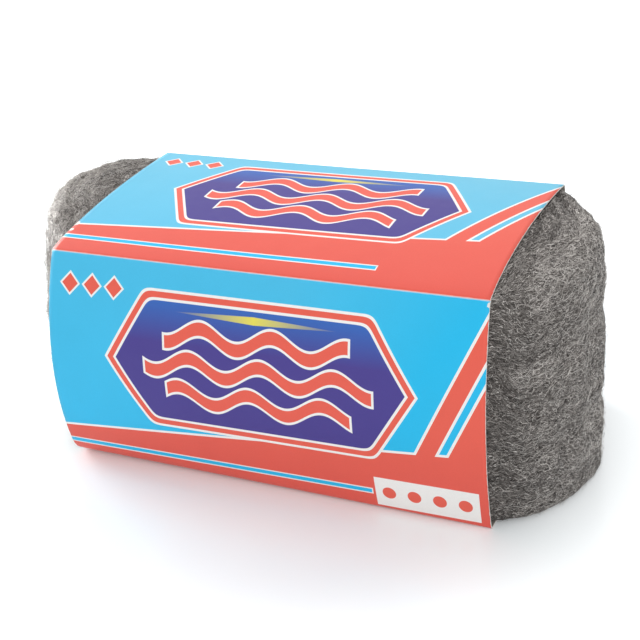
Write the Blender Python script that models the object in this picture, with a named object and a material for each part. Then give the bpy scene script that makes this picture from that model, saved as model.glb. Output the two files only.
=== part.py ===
"""Sleeved roll of fine steel wool.

A long ribbon of steel wool is wound flat into a loaf-shaped roll that stands on the edges of its turns.
A printed card sleeve, folded from one strip and glued along a lap, holds the roll shut.
Metres, +Z up, +X along the roll, origin on the ground under the middle of the whole object.
"""

import math

import bmesh
import bpy
import numpy as np

# Card sleeve: a four-sided tube that lies along X
SLEEVE_LENGTH = 0.180
TOP_DEPTH = 0.0935
FRONT_HEIGHT = 0.0900
BACK_RISE = 0.0065
FRONT_FOOT_REACH = 0.0070
BACK_FOOT_REACH = 0.0030
CARD_THICKNESS = 0.0005
INNER_CREASE_RADIUS = 0.0005
SOFT_FOLD_RADIUS = 0.0080
LAP_WIDTH = 0.0160

# How far the roll pushes each panel out between its creases, at the left and right ends
FRONT_BULGE_LEFT = 0.0095
FRONT_BULGE_RIGHT = 0.0058
TOP_CROWN_LEFT = 0.0028
TOP_CROWN_RIGHT = 0.0050
BACK_BULGE_LEFT = 0.0050
BACK_BULGE_RIGHT = 0.0045
CROWN_SKEW = 0.80

# Steel wool roll: its round ends stand out of the sleeve
LEFT_OVERHANG = 0.0275
RIGHT_OVERHANG = 0.0273
LEFT_CAP_LENGTH = 0.0360
RIGHT_CAP_LENGTH = 0.0350
MOUTH_SHOULDER_RADIUS = 0.0025
FRONT_SHOULDER_RADIUS = 0.0115
BACK_SHOULDER_RADIUS = 0.0055
FOOT_RADIUS = 0.0030
LEFT_SWELL = 0.0030
RIGHT_SWELL = 0.0004
BACK_EASE = 0.0045
EASE_LENGTH = 0.0140
ROLL_CLEARANCE = 0.0005
TURN_THICKNESS = 0.0090
TURN_GROOVE = 0.0014
EYE_HALF_WIDTH = 0.0020

# Soft lumps of the free ends: necks one above the other, and tufts in staggered rows
NECK_HEIGHT = 0.0007
NECK_SPACING = 0.0370
NECK_MIDDLE = 0.0470
TUFT_HEIGHT = 0.0010
TUFT_SPACING = 0.0190

# How square the ends are seen from above: 2 is an ellipse, more is squarer, less is more pointed
LEFT_FRONT_POWER = 1.45
LEFT_BACK_POWER = 1.95
RIGHT_FRONT_POWER = 1.90
RIGHT_BACK_POWER = 1.60

# Fineness of the lofts
SLEEVE_STATIONS = 11
PANEL_POINTS = 9
CREASE_POINTS = 3
CAP_STEPS = 14
RUN_STEPS = 6
WALL_RINGS = 13
RIM_STEPS = 5
RINGS_PER_TURN = 4
SETTLE_ROUNDS = 4


def clear_scene():
    """Removes every object, so that the model starts from nothing."""
    for old in list(bpy.data.objects):
        bpy.data.objects.remove(old, do_unlink=True)


def principled(name, colour, roughness, metallic):
    """A Principled BSDF material with one colour."""
    material = bpy.data.materials.new(name)
    material.use_nodes = True
    shader = material.node_tree.nodes["Principled BSDF"]
    shader.inputs["Base Color"].default_value = (*colour, 1.0)
    shader.inputs["Roughness"].default_value = roughness
    shader.inputs["Metallic"].default_value = metallic
    return material


def smooth_step(value):
    """0 below 0, 1 above 1, and an S-shaped rise between."""
    share = np.clip(value, 0.0, 1.0)
    return share * share * (3.0 - 2.0 * share)


def along_sleeve(x, left, right):
    """A size that changes evenly from the sleeve's left end to its right end."""
    share = np.clip(x / SLEEVE_LENGTH + 0.5, 0.0, 1.0)
    return left + (right - left) * share


def arch(share):
    """Height of a stuffed panel between two creases, 0 at both and 1 at its top."""
    return 4.0 * share * (1.0 - share)


def front_panel(x, share):
    """Y and Z of the front panel, from its foot crease to its top crease."""
    bulge = along_sleeve(x, FRONT_BULGE_LEFT, FRONT_BULGE_RIGHT)
    y = -TOP_DEPTH / 2 - FRONT_FOOT_REACH * (1.0 - share) - bulge * arch(share)
    return y, FRONT_HEIGHT * share


def top_panel(x, share):
    """Y and Z of the top panel, from its front crease to its back crease."""
    crown = along_sleeve(x, TOP_CROWN_LEFT, TOP_CROWN_RIGHT)
    y = TOP_DEPTH * (share - 0.5)
    z = FRONT_HEIGHT + BACK_RISE * share + crown * arch(np.power(share, CROWN_SKEW))
    return y, z


def back_panel(x, share):
    """Y and Z of the back panel, from its top crease to its foot crease."""
    bulge = along_sleeve(x, BACK_BULGE_LEFT, BACK_BULGE_RIGHT)
    y = TOP_DEPTH / 2 + BACK_FOOT_REACH * share + bulge * arch(share)
    return y, (FRONT_HEIGHT + BACK_RISE) * (1.0 - share)


def bottom_panel(x, share):
    """Y and Z of the flat bottom panel, from its back crease to its front crease."""
    back = TOP_DEPTH / 2 + BACK_FOOT_REACH
    front = -TOP_DEPTH / 2 - FRONT_FOOT_REACH
    return back + (front - back) * share, 0.0 * share


def panel_points(panel, width, x, start_radius, end_radius, stops):
    """Points of one panel between the round parts of its two creases."""
    first = start_radius / width
    last = 1.0 - end_radius / width
    y, z = panel(x, first + (last - first) * stops)
    return np.stack([y, z], axis=1)


def crease_points(before, corner, after):
    """Points of a rounded crease: a curve from one panel to the next that leans on the corner."""
    share = (np.arange(CREASE_POINTS) + 1.0)[:, None] / (CREASE_POINTS + 1.0)
    return before * (1 - share) ** 2 + corner * 2 * share * (1 - share) + after * share ** 2


def crease_reach():
    """How far the outside of a sharp crease reaches along its panels, more than the card is thick."""
    return INNER_CREASE_RADIUS + 1.5 * CARD_THICKNESS


def front_fold(x):
    """Reach of the fold at the front foot: soft at the left end, and a sharp crease at the right."""
    return along_sleeve(x, SOFT_FOLD_RADIUS, crease_reach())


def sleeve_section(x):
    """Outside line of the sleeve at one station, and how far the glued lap lifts each point."""
    soft = float(front_fold(x))
    sharp = crease_reach()
    even = np.linspace(0.0, 1.0, PANEL_POINTS)
    lap_stops, lap_lift = lap_steps()
    none = np.zeros(PANEL_POINTS)
    panels = [
        (front_panel, FRONT_HEIGHT, soft, sharp, even, none),
        (top_panel, TOP_DEPTH, sharp, sharp, even, none),
        (back_panel, FRONT_HEIGHT + BACK_RISE, sharp, sharp, lap_stops, lap_lift),
        (bottom_panel, TOP_DEPTH, sharp, soft, even, none),
    ]
    runs = [panel_points(panel, width, x, *reaches) for panel, width, *reaches, _ in panels]
    fade = 1.0 - (np.arange(CREASE_POINTS) + 1.0) / (CREASE_POINTS + 1.0)
    line = []
    lift = []
    for index, run in enumerate(runs):
        following = (index + 1) % len(panels)
        corner = np.array([float(value) for value in panels[following][0](x, 0.0)])
        line += [run, crease_points(run[-1], corner, runs[following][0])]
        own_lift = panels[index][-1]
        lift += [own_lift, own_lift[-1] * fade]
    return np.concatenate(line), np.concatenate(lift)


def lap_steps():
    """Stops down the back panel, with the step where the lap's edge lies, and the lift at each."""
    half = PANEL_POINTS // 2 + 1
    lap_start = 1.0 - LAP_WIDTH / (FRONT_HEIGHT + BACK_RISE)
    above = np.linspace(0.0, lap_start, half)
    below = np.linspace(lap_start, 1.0, half)
    return np.concatenate([above, below]), np.concatenate([0.0 * above, 1.0 + 0.0 * below])


def outward(line):
    """Unit vectors that point out of a closed line which runs clockwise seen from +X."""
    ahead = np.roll(line, -1, axis=0)
    behind = np.roll(line, 1, axis=0)
    run = ahead - behind
    run /= np.linalg.norm(run, axis=1)[:, None]
    return np.stack([-run[:, 1], run[:, 0]], axis=1)


def loft(bm, loops):
    """Joins closed loops of equal length with quads and returns the vertex rings."""
    rings = [[bm.verts.new(point) for point in loop] for loop in loops]
    for lower, upper in zip(rings, rings[1:]):
        bridge(bm, lower, upper)
    return rings


def bridge(bm, lower, upper):
    """One band of quads between two rings."""
    count = len(lower)
    for index in range(count):
        following = (index + 1) % count
        bm.faces.new((lower[index], lower[following], upper[following], upper[index]))


def finish_object(bm, name, material, sharp_angle):
    """Turns a bmesh into a named object with outward faces, smooth up to an angle."""
    bmesh.ops.recalc_face_normals(bm, faces=bm.faces)
    mesh = bpy.data.meshes.new(name)
    bm.to_mesh(mesh)
    bm.free()
    mesh.materials.append(material)
    mesh.shade_smooth()
    mesh.set_sharp_from_angle(angle=sharp_angle)
    made = bpy.data.objects.new(name, mesh)
    bpy.context.collection.objects.link(made)
    return made


def card_sleeve():
    """The folded card: an outer skin, an inner skin and the two cut ends between them."""
    outer = []
    inner = []
    for x in np.linspace(-SLEEVE_LENGTH / 2, SLEEVE_LENGTH / 2, SLEEVE_STATIONS):
        line, lift = sleeve_section(x)
        out = outward(line)
        raised = line + np.stack([lift * CARD_THICKNESS, 0.0 * lift], axis=1)
        sunk = line - out * CARD_THICKNESS
        outer.append([(x, y, z) for y, z in raised])
        inner.append([(x, y, z) for y, z in sunk])
    bm = bmesh.new()
    outer_rings = loft(bm, outer)
    inner_rings = loft(bm, inner)
    bridge(bm, outer_rings[0], inner_rings[0])
    bridge(bm, outer_rings[-1], inner_rings[-1])
    bmesh.ops.remove_doubles(bm, verts=bm.verts, dist=CARD_THICKNESS / 100)
    return finish_object(bm, "card_sleeve", printed_card(), math.radians(35))


def end_cap(length, power):
    """A quarter of a superellipse, from the tip of an end to its side: reach and side."""
    quarter = np.linspace(0.0, math.pi / 2, CAP_STEPS + 1)
    reach = length * np.power(np.cos(quarter), 2 / power)
    reach[-1] = 0.0
    return reach, np.power(np.sin(quarter), 2 / power)


def half_outline(left_power, right_power):
    """One side of the roll seen from above, from the tip of the right end to the left tip.

    The values are the X of the cap's centre, the reach of the cap past it and the side, which
    grows from 0 at a tip to 1 along the straight run.
    """
    right_centre = SLEEVE_LENGTH / 2 + RIGHT_OVERHANG - RIGHT_CAP_LENGTH
    left_centre = -SLEEVE_LENGTH / 2 - LEFT_OVERHANG + LEFT_CAP_LENGTH
    run = np.arange(1, RUN_STEPS) / RUN_STEPS
    right_reach, right_side = end_cap(RIGHT_CAP_LENGTH, right_power)
    left_reach, left_side = end_cap(LEFT_CAP_LENGTH, left_power)
    centre = np.concatenate([
        np.full(CAP_STEPS + 1, right_centre),
        right_centre + (left_centre - right_centre) * run,
        np.full(CAP_STEPS + 1, left_centre),
    ])
    reach = np.concatenate([right_reach, 0.0 * run, -left_reach[::-1]])
    side = np.concatenate([right_side, 1.0 + 0.0 * run, left_side[::-1]])
    return centre, reach, side


def plan_outline():
    """The whole outline: the back side, then the front side run backwards, with side from -1 to 1."""
    back = half_outline(LEFT_BACK_POWER, RIGHT_BACK_POWER)
    front = half_outline(LEFT_FRONT_POWER, RIGHT_FRONT_POWER)
    inner = slice(-2, 0, -1)
    signs = (1.0, 1.0, -1.0)
    return [np.concatenate([one, sign * other[inner]]) for one, other, sign in zip(back, front, signs)]


def roll_margin():
    """How far the roll stays from the outside line of the card."""
    return CARD_THICKNESS + ROLL_CLEARANCE


def half_depth():
    """Half the roll's depth from front to back, between the creases of the top panel."""
    return TOP_DEPTH / 2 - roll_margin()


def past_mouth(x):
    """0 inside the sleeve, rising to 1 over a short length outside its mouths."""
    return smooth_step((np.abs(x) - SLEEVE_LENGTH / 2) / EASE_LENGTH)


def roll_sides(x, z):
    """Y of the roll's front and back at a place and a height: inside the card, and eased past it."""
    front_y = front_panel(x, np.clip(z / FRONT_HEIGHT, 0.0, 1.0))[0]
    back_y = back_panel(x, np.clip(1.0 - z / (FRONT_HEIGHT + BACK_RISE), 0.0, 1.0))[0]
    return front_y + roll_margin(), back_y - roll_margin() - BACK_EASE * past_mouth(x)


def roll_top(x, y):
    """Z of the roll's upper face: under the card's crown, and swollen past the sleeve's mouths."""
    share = np.clip(y / TOP_DEPTH + 0.5, 0.0, 1.0)
    swell = along_sleeve(x, LEFT_SWELL, RIGHT_SWELL) * past_mouth(x)
    return top_panel(x, share)[1] - roll_margin() + swell


def roll_bottom(x):
    """Z of the roll's lower face: on the card inside the sleeve, and sunk to the ground past it."""
    return roll_margin() * (1.0 - past_mouth(x))


def shoulder_radius(outline):
    """Rounding of the upper rim: tight in the card's corners, and wider past the mouths."""
    centre, reach, side = outline
    back_share = smooth_step(0.5 + 0.5 * side)
    free = FRONT_SHOULDER_RADIUS + (BACK_SHOULDER_RADIUS - FRONT_SHOULDER_RADIUS) * back_share
    return MOUTH_SHOULDER_RADIUS + (free - MOUTH_SHOULDER_RADIUS) * past_mouth(centre + reach)


def foot_radius(outline):
    """Rounding of the lower rim: wider where it lies in the soft front fold of the card."""
    centre, _, side = outline
    return FOOT_RADIUS + front_fold(centre) * smooth_step(-side)


def turn_groove(turns_in, centre, side):
    """Depth of the groove between turns, so many turns in from the shoulder.

    The winding steps in by one turn along the back run, under the sleeve.
    """
    from_right = (centre.max() - centre) / (centre.max() - centre.min())
    on_back_run = np.isclose(side, 1.0)
    phase = 0.5 + turns_in + np.where(on_back_run, smooth_step(from_right), 0.0)
    return TURN_GROOVE * (0.5 + 0.5 * np.cos(2 * math.pi * phase)) ** 2


def round_end(outline):
    """How far each column lies round an end from its tip, negative on the front side."""
    _, reach, side = outline
    cap = np.where(reach < 0.0, LEFT_CAP_LENGTH, RIGHT_CAP_LENGTH)
    return half_depth() * side + (cap - np.abs(reach)) * np.sign(side)


def end_lumps(outline, x, z):
    """How far the free ends bulge out: necks and swells, and tufts that alternate like bricks."""
    level = (z - NECK_MIDDLE) / NECK_SPACING
    row = math.pi * z / TUFT_SPACING
    column = math.pi * round_end(outline) / TUFT_SPACING
    tufts = np.cos(row + column) * np.cos(row - column)
    swells = NECK_HEIGHT * np.cos(2 * math.pi * level) * np.sign(x)
    return (swells + TUFT_HEIGHT * tufts) * past_mouth(x)


def settle(outline, inset, height):
    """Points of one ring: the plan outline shrunk by an inset, at a height above foot or below top.

    height is a function of X and of the top there. The sides depend on the height and the top on
    the sides, so the two are worked out in turn until they agree.
    """
    centre, reach, side = outline
    scale = 1.0 - inset / half_depth()
    x = centre + reach * scale
    z = np.full_like(x, FRONT_HEIGHT / 2)
    for _ in range(SETTLE_ROUNDS):
        front_y, back_y = roll_sides(x, z)
        y = front_y + (back_y - front_y) * (side * scale + 1.0) / 2.0
        z = height(x, roll_top(x, y))
    return x, y, z


def wall_ring(outline, level):
    """A ring of the wall: level runs from 0 above the foot's rounding to 1 below the shoulder's."""
    side = outline[2]

    def height(x, top):
        low = roll_bottom(x) + foot_radius(outline)
        return low + (top - shoulder_radius(outline) - low) * level

    x, y, z = settle(outline, 0.0 * side, height)
    lump = end_lumps(outline, x, z) * smooth_step(4.0 * level) * smooth_step(4.0 * (1.0 - level))
    along = np.sqrt(1.0 - side ** 2) * np.sign(x)
    return np.stack([x + lump * along, y + lump * side, z], axis=1)


def rim_ring(outline, angle, upper):
    """A ring on the rounded rim, at an angle from 0 at the wall to a right angle at the face."""
    radius = shoulder_radius(outline) if upper else foot_radius(outline)
    drop = radius * (1.0 - math.sin(angle))

    def height(x, top):
        return top - drop if upper else roll_bottom(x) + drop

    return np.stack(settle(outline, radius * (1.0 - math.cos(angle)), height), axis=1)


def face_ring(outline, step, steps, upper):
    """A ring of the upper or lower face, between the rim and the eye, with the turns' grooves."""
    centre, _, side = outline
    radius = shoulder_radius(outline) if upper else foot_radius(outline)
    inset = radius + (half_depth() - EYE_HALF_WIDTH - radius) * step / steps
    groove = turn_groove(step / RINGS_PER_TURN, centre, side)

    def height(x, top):
        return top - groove if upper else roll_bottom(x) + groove

    return np.stack(settle(outline, inset, height), axis=1)


def roll_rings():
    """All rings from the eye of the lower face, up the wall, to the eye of the upper face."""
    outline = plan_outline()
    turns = max(2, round((half_depth() - FRONT_SHOULDER_RADIUS) / TURN_THICKNESS))
    steps = turns * RINGS_PER_TURN
    angles = [math.pi / 2 * step / RIM_STEPS for step in range(1, RIM_STEPS + 1)]
    lower = [rim_ring(outline, angle, False) for angle in angles]
    lower += [face_ring(outline, step, steps, False) for step in range(1, steps + 1)]
    upper = [rim_ring(outline, angle, True) for angle in angles]
    upper += [face_ring(outline, step, steps, True) for step in range(1, steps + 1)]
    wall = [wall_ring(outline, level) for level in np.linspace(0.0, 1.0, WALL_RINGS)]
    return lower[::-1] + wall + upper


def close_eye(bm, ring):
    """Fills the slot in the middle of the winding by joining its two sides."""
    count = len(ring)
    half = count // 2
    bm.faces.new((ring[0], ring[1], ring[count - 1]))
    for index in range(1, half - 1):
        bm.faces.new((ring[index], ring[index + 1], ring[count - index - 1], ring[count - index]))
    bm.faces.new((ring[half - 1], ring[half], ring[half + 1]))


def steel_wool_roll():
    """The wound ribbon: one closed body of rings, with the eye of the winding filled at both ends."""
    bm = bmesh.new()
    made = loft(bm, [[tuple(point) for point in ring] for ring in roll_rings()])
    close_eye(bm, made[0])
    close_eye(bm, made[-1])
    return finish_object(bm, "steel_wool_roll", steel_wool(), math.radians(60))


def printed_card():
    """Coated card, sky blue where it is printed."""
    return principled("printed_card", (0.060, 0.480, 0.790), 0.38, 0.0)


def steel_wool():
    """Fine grey steel fibres."""
    return principled("steel_wool", (0.165, 0.150, 0.145), 0.55, 0.75)


def centre_on_ground(pieces):
    """Moves the pieces together, so that the origin lies under the middle of their common box."""
    corners = np.array([vertex.co[:] for piece in pieces for vertex in piece.data.vertices])
    low = corners.min(axis=0)
    high = corners.max(axis=0)
    shift = (-(low[0] + high[0]) / 2, -(low[1] + high[1]) / 2, -low[2])
    for piece in pieces:
        piece.location = shift


def build():
    clear_scene()
    pieces = [steel_wool_roll(), card_sleeve()]
    centre_on_ground(pieces)


build()
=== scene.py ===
# %% [markdown]
# # A roll of fine steel wool in a printed card sleeve
#
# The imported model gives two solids: the roll, and the card folded round it. This lesson dresses both.
# Every new piece is a grid of points worked out with numpy from the same sizes as the solids, so it
# lands in their place, and it gets its finish from shader nodes.

# %% Load the fixed frame
import math

import bpy
import numpy as np
from mathutils import Matrix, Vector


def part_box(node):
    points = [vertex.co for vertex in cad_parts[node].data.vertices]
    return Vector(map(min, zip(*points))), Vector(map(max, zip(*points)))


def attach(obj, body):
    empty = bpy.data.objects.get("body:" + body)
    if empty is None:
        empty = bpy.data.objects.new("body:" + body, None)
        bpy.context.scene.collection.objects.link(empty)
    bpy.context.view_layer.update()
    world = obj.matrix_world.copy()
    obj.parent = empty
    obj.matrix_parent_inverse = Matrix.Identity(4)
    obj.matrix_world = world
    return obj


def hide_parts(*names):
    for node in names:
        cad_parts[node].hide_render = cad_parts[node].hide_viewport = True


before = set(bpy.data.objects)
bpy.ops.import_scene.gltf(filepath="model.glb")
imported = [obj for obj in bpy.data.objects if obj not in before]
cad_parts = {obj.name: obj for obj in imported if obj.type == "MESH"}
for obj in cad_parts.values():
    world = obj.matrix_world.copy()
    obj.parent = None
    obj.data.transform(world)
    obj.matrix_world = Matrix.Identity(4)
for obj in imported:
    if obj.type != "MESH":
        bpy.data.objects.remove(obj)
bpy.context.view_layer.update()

MM = 0.001
BODY = "root"
print("nodes of the frame:", sorted(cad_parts))

# %% [markdown]
# ## The camera
#
# The camera's place was worked out from the corners and creases of the sleeve in the picture: it stands
# to the right, in front and above, and leans a little. Its three axes follow from turn, pitch and lean.
# The lens is a length in pixels, carried over to a sensor 36 mm wide.

# %% Camera
PICTURE_PIXELS = 640
LENS_PIXELS = 1401.47
SENSOR_WIDTH = 36.0
CAMERA_TURN = math.radians(26.806)
CAMERA_PITCH = math.radians(26.627)
CAMERA_LEAN = math.radians(-5.366)
CAMERA_DISTANCE = 0.59215
CAMERA_RIGHT_OF_AIM = -0.00323
CAMERA_ABOVE_AIM = 0.04241
NEAREST_SEEN = 10 * MM


def camera_axes():
    """Right, up and forward of the camera: a turn about Z, a pitch down, and a lean about the view."""
    right = np.array([math.cos(CAMERA_TURN), math.sin(CAMERA_TURN), 0.0])
    forward = np.array([
        -math.sin(CAMERA_TURN) * math.cos(CAMERA_PITCH),
        math.cos(CAMERA_TURN) * math.cos(CAMERA_PITCH),
        -math.sin(CAMERA_PITCH),
    ])
    up = np.cross(right, forward)
    leaned_right = math.cos(CAMERA_LEAN) * right + math.sin(CAMERA_LEAN) * up
    leaned_up = -math.sin(CAMERA_LEAN) * right + math.cos(CAMERA_LEAN) * up
    return leaned_right, leaned_up, forward


def place_matrix(right, up, back, place):
    """The matrix whose columns are an object's three axes and its place."""
    return Matrix([*np.stack([right, up, back, place], axis=1).tolist(), [0.0, 0.0, 0.0, 1.0]])


def add_object(name, data):
    """Puts a mesh, a lamp's or a camera's data into the scene, as an object at the origin."""
    made = bpy.data.objects.new(name, data)
    bpy.context.scene.collection.objects.link(made)
    return made


def add_camera(aim):
    """Puts the camera back from a point, so far that the sleeve has its size in the picture."""
    right, up, forward = camera_axes()
    place = aim + right * CAMERA_RIGHT_OF_AIM + up * CAMERA_ABOVE_AIM - forward * CAMERA_DISTANCE
    data = bpy.data.cameras.new("camera")
    data.lens = LENS_PIXELS / PICTURE_PIXELS * SENSOR_WIDTH
    data.sensor_width = SENSOR_WIDTH
    data.clip_start = NEAREST_SEEN
    camera = add_object("camera", data)
    camera.matrix_world = place_matrix(right, up, -forward, place)
    bpy.context.scene.camera = camera
    print("camera at", np.round(place, 4))


# %% [markdown]
# ## The sizes
#
# These are the sizes of the card and the roll, as in the solids. The sleeve is a tube of four panels that
# the roll pushes out. The roll is a loaf with round ends, wound flat, which stands on the edges of its
# turns. X and Y below are measured from the middle of the sleeve's top panel, so at the end everything
# moves by the small step between that middle and the frame's origin.

# %% Sizes of the sleeve
sleeve_low, sleeve_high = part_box("card_sleeve")
SLEEVE_LENGTH = sleeve_high.x - sleeve_low.x
SLEEVE_MIDDLE_X = (sleeve_high.x + sleeve_low.x) / 2
TOP_DEPTH = 93.5 * MM
FRONT_HEIGHT = 90.0 * MM
BACK_RISE = 6.5 * MM
FRONT_FOOT_REACH = 7.0 * MM
BACK_FOOT_REACH = 3.0 * MM
CARD_THICKNESS = 0.5 * MM
SHARP_REACH = 1.25 * MM
SOFT_REACH = 8.0 * MM
LAP_WIDTH = 16.0 * MM
FRONT_BULGE = (9.5 * MM, 5.8 * MM)
TOP_CROWN = (2.8 * MM, 5.0 * MM)
BACK_BULGE = (5.0 * MM, 4.5 * MM)
CROWN_SKEW = 0.80
BACK_HEIGHT = FRONT_HEIGHT + BACK_RISE
print(f"sleeve {SLEEVE_LENGTH / MM:.1f} mm long")


# %% [markdown]
# ## The four panels
#
# Each panel is a curve across the girth, arched between its two creases, and the arch changes evenly from
# the left end to the right one. One function for each panel keeps the card and the wool under it in step.

# %% Curves of the panels
def smooth_step(value):
    """0 below 0, 1 above 1, and an S-shaped rise between."""
    share = np.clip(value, 0.0, 1.0)
    return share * share * (3.0 - 2.0 * share)


def along_sleeve(x, ends):
    """A size that changes evenly from the sleeve's left end to its right end."""
    share = np.clip(x / SLEEVE_LENGTH + 0.5, 0.0, 1.0)
    return ends[0] + (ends[1] - ends[0]) * share


def arch(share):
    """Height of a stuffed panel between two creases, 0 at both and 1 at its top."""
    return 4.0 * share * (1.0 - share)


def front_panel(x, share):
    """Y and Z up the front panel: it leans out to its foot, and bulges in the middle."""
    y = -TOP_DEPTH / 2 - FRONT_FOOT_REACH * (1.0 - share) - along_sleeve(x, FRONT_BULGE) * arch(share)
    return y, FRONT_HEIGHT * share


def top_panel(x, share):
    """Y and Z over the top panel from front to back: it rises, and crowns near the front."""
    y = TOP_DEPTH * (share - 0.5) + 0.0 * x
    crown = along_sleeve(x, TOP_CROWN) * arch(np.power(share, CROWN_SKEW))
    return y, FRONT_HEIGHT + BACK_RISE * share + crown


def back_panel(x, share):
    """Y and Z down the back panel."""
    y = TOP_DEPTH / 2 + BACK_FOOT_REACH * share + along_sleeve(x, BACK_BULGE) * arch(share)
    return y, BACK_HEIGHT * (1.0 - share)


def bottom_panel(x, share):
    """Y and Z of the flat bottom panel from back to front."""
    back = TOP_DEPTH / 2 + BACK_FOOT_REACH
    front = -TOP_DEPTH / 2 - FRONT_FOOT_REACH
    return back + (front - back) * share + 0.0 * x, 0.0 * share * x


def front_fold(x):
    """Reach of the fold at the front foot: soft at the left end, and a sharp crease at the right."""
    return along_sleeve(x, (SOFT_REACH, SHARP_REACH))


# %% [markdown]
# ## Helpers that make a mesh
#
# A mesh is three flat arrays: the points, the corners of the faces, and where each face starts. Filling
# them with foreach_set is quick, also for a hundred thousand faces.

# %% Mesh from arrays
def grid_faces(rows, columns, around, first=0):
    """Corner numbers of the quads of a grid of points, which may close round its columns."""
    row = np.arange(rows - 1)[:, None]
    column = np.arange(columns if around else columns - 1)[None, :]
    following = (column + 1) % columns
    corners = [row * columns + column, row * columns + following]
    corners += [corners[1] + columns, corners[0] + columns]
    return first + np.stack(corners, axis=-1).reshape(-1, 4)


def mesh_from_arrays(name, points, face_sets, uv_maps):
    """A mesh object at the origin. face_sets holds arrays of faces, one array for each corner count.

    uv_maps gives for each map a list with one array of corner places for each set of faces.
    """
    points = points.reshape(-1, 3)
    corners = np.concatenate([faces.ravel() for faces in face_sets]).astype(np.int32)
    counts = np.concatenate([np.full(len(faces), faces.shape[1]) for faces in face_sets])
    starts = np.concatenate([[0], np.cumsum(counts)[:-1]]).astype(np.int32)
    mesh = bpy.data.meshes.new(name)
    mesh.vertices.add(len(points))
    mesh.vertices.foreach_set("co", points.astype(np.float32).ravel())
    mesh.loops.add(len(corners))
    mesh.loops.foreach_set("vertex_index", corners)
    mesh.polygons.add(len(starts))
    mesh.polygons.foreach_set("loop_start", starts)
    mesh.update(calc_edges=True)
    mesh.shade_smooth()
    for map_name, parts in uv_maps.items():
        layer = mesh.uv_layers.new(name=map_name)
        places = np.concatenate([part.reshape(-1, 2) for part in parts])
        layer.uv.foreach_set("vector", places.astype(np.float32).ravel())
    print(f"{name}: {len(points)} points, {int((counts - 2).sum())} triangles")
    return add_object(name, mesh)


# %% [markdown]
# ## The sleeve as a grid
#
# The card is one strip folded round the roll. Its line round the girth runs up the front, over the top,
# down the back and along the bottom, with a small curve at each crease. Carried along X, the line becomes
# a skin. A second skin lies one card thickness inside it, and narrow bands close the cut ends. A Solidify
# modifier could make that skin, too, but here each skin has its own place on the print map, which keeps
# the ink off the inside.

# %% Line round the girth
STATIONS = 101
PANEL_STEPS = 26
CREASE_STEPS = 5
PANELS = 4.0


def panel_line(panel, width, x, start_reach, end_reach, stops):
    """Points of a panel between the round parts of its creases, and the share of its width at each."""
    first = start_reach / width
    last = 1.0 - end_reach / width
    share = first + (last - first) * stops
    y, z = panel(x, share)
    return np.stack(np.broadcast_arrays(y, z), axis=-1), np.broadcast_to(share, y.shape)


def crease_line(before, corner, after):
    """Points of a crease: a quadratic curve from one panel to the next that leans on the corner."""
    share = (np.arange(CREASE_STEPS) + 1.0)[None, :, None] / (CREASE_STEPS + 1.0)
    start, middle, end = (place[:, None, :] for place in (before, corner, after))
    return start * (1 - share) ** 2 + middle * 2 * share * (1 - share) + end * share ** 2


def lap_stops():
    """Stops down the back panel, doubled where the glued lap's edge steps out, and the lift at each."""
    half = PANEL_STEPS // 2 + 1
    lap_start = 1.0 - LAP_WIDTH / BACK_HEIGHT
    above = np.linspace(0.0, lap_start, half)
    below = np.linspace(lap_start, 1.0, half)
    return np.concatenate([above, below]), np.concatenate([0.0 * above, 1.0 + 0.0 * below])


def girth_grid(x):
    """Y and Z round the girth at every station, the lap's lift, and the place on the print.

    The place is the panel's number plus the share of its width, so it grows evenly from 0 to 4.
    """
    x = x[:, None]
    sharp = SHARP_REACH + 0.0 * x
    soft = front_fold(x)
    even = np.linspace(0.0, 1.0, PANEL_STEPS)[None, :]
    stops, lift = lap_stops()
    settings = [
        (front_panel, FRONT_HEIGHT, soft, sharp, even, 0.0 * even[0]),
        (top_panel, TOP_DEPTH, sharp, sharp, even, 0.0 * even[0]),
        (back_panel, BACK_HEIGHT, sharp, sharp, stops[None, :], lift),
        (bottom_panel, TOP_DEPTH, sharp, soft, even, 0.0 * even[0]),
    ]
    lines = [panel_line(panel, width, x, *rest) for panel, width, *rest, _ in settings]
    fade = (np.arange(CREASE_STEPS) + 1.0) / (CREASE_STEPS + 1.0)
    line, lifts, print_place = [], [], []
    for number, (points, share) in enumerate(lines):
        following = (number + 1) % len(lines)
        after, after_share = lines[following]
        corner = np.stack(np.broadcast_arrays(*settings[following][0](x, 0.0 * x)), axis=-1)[:, 0]
        line += [points, crease_line(points[:, -1], corner, after[:, 0])]
        lifts += [settings[number][-1], settings[number][-1][-1] * (1.0 - fade)]
        last = share[:, -1:]
        print_place += [number + share, number + last + fade * (1 + after_share[:, :1] - last)]
    return np.concatenate(line, axis=1), np.concatenate(lifts), np.concatenate(print_place, axis=1)


# %% [markdown]
# The card isn't perfectly even: the wool presses on it from inside, so each panel carries very low, wide
# swells. They come from a random grid whose short waves are faded out, which is a cheap way to make a
# field as smooth as wanted.

# %% Random fields
WAVE_FADE = 8.0
LEAST_LENGTH = 1e-12


def cloud(shape, waves, seed):
    """Smooth random field from about -2 to 2: white noise with the short waves faded by an FFT.

    waves gives, for rows and for columns, how many steps of the grid the smallest swell takes. A wave
    fades by the exponential of minus its frequency squared.
    """
    white = np.random.default_rng(seed).standard_normal(shape)
    row = np.fft.fftfreq(shape[0])[:, None] * waves[0]
    column = np.fft.fftfreq(shape[1])[None, :] * waves[1]
    smooth = np.fft.ifft2(np.fft.fft2(white) * np.exp(-WAVE_FADE * (row ** 2 + column ** 2))).real
    return (smooth - smooth.mean()) / smooth.std()


def unit(vectors):
    """The same vectors with length 1."""
    return vectors / np.maximum(np.linalg.norm(vectors, axis=-1, keepdims=True), LEAST_LENGTH)


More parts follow.
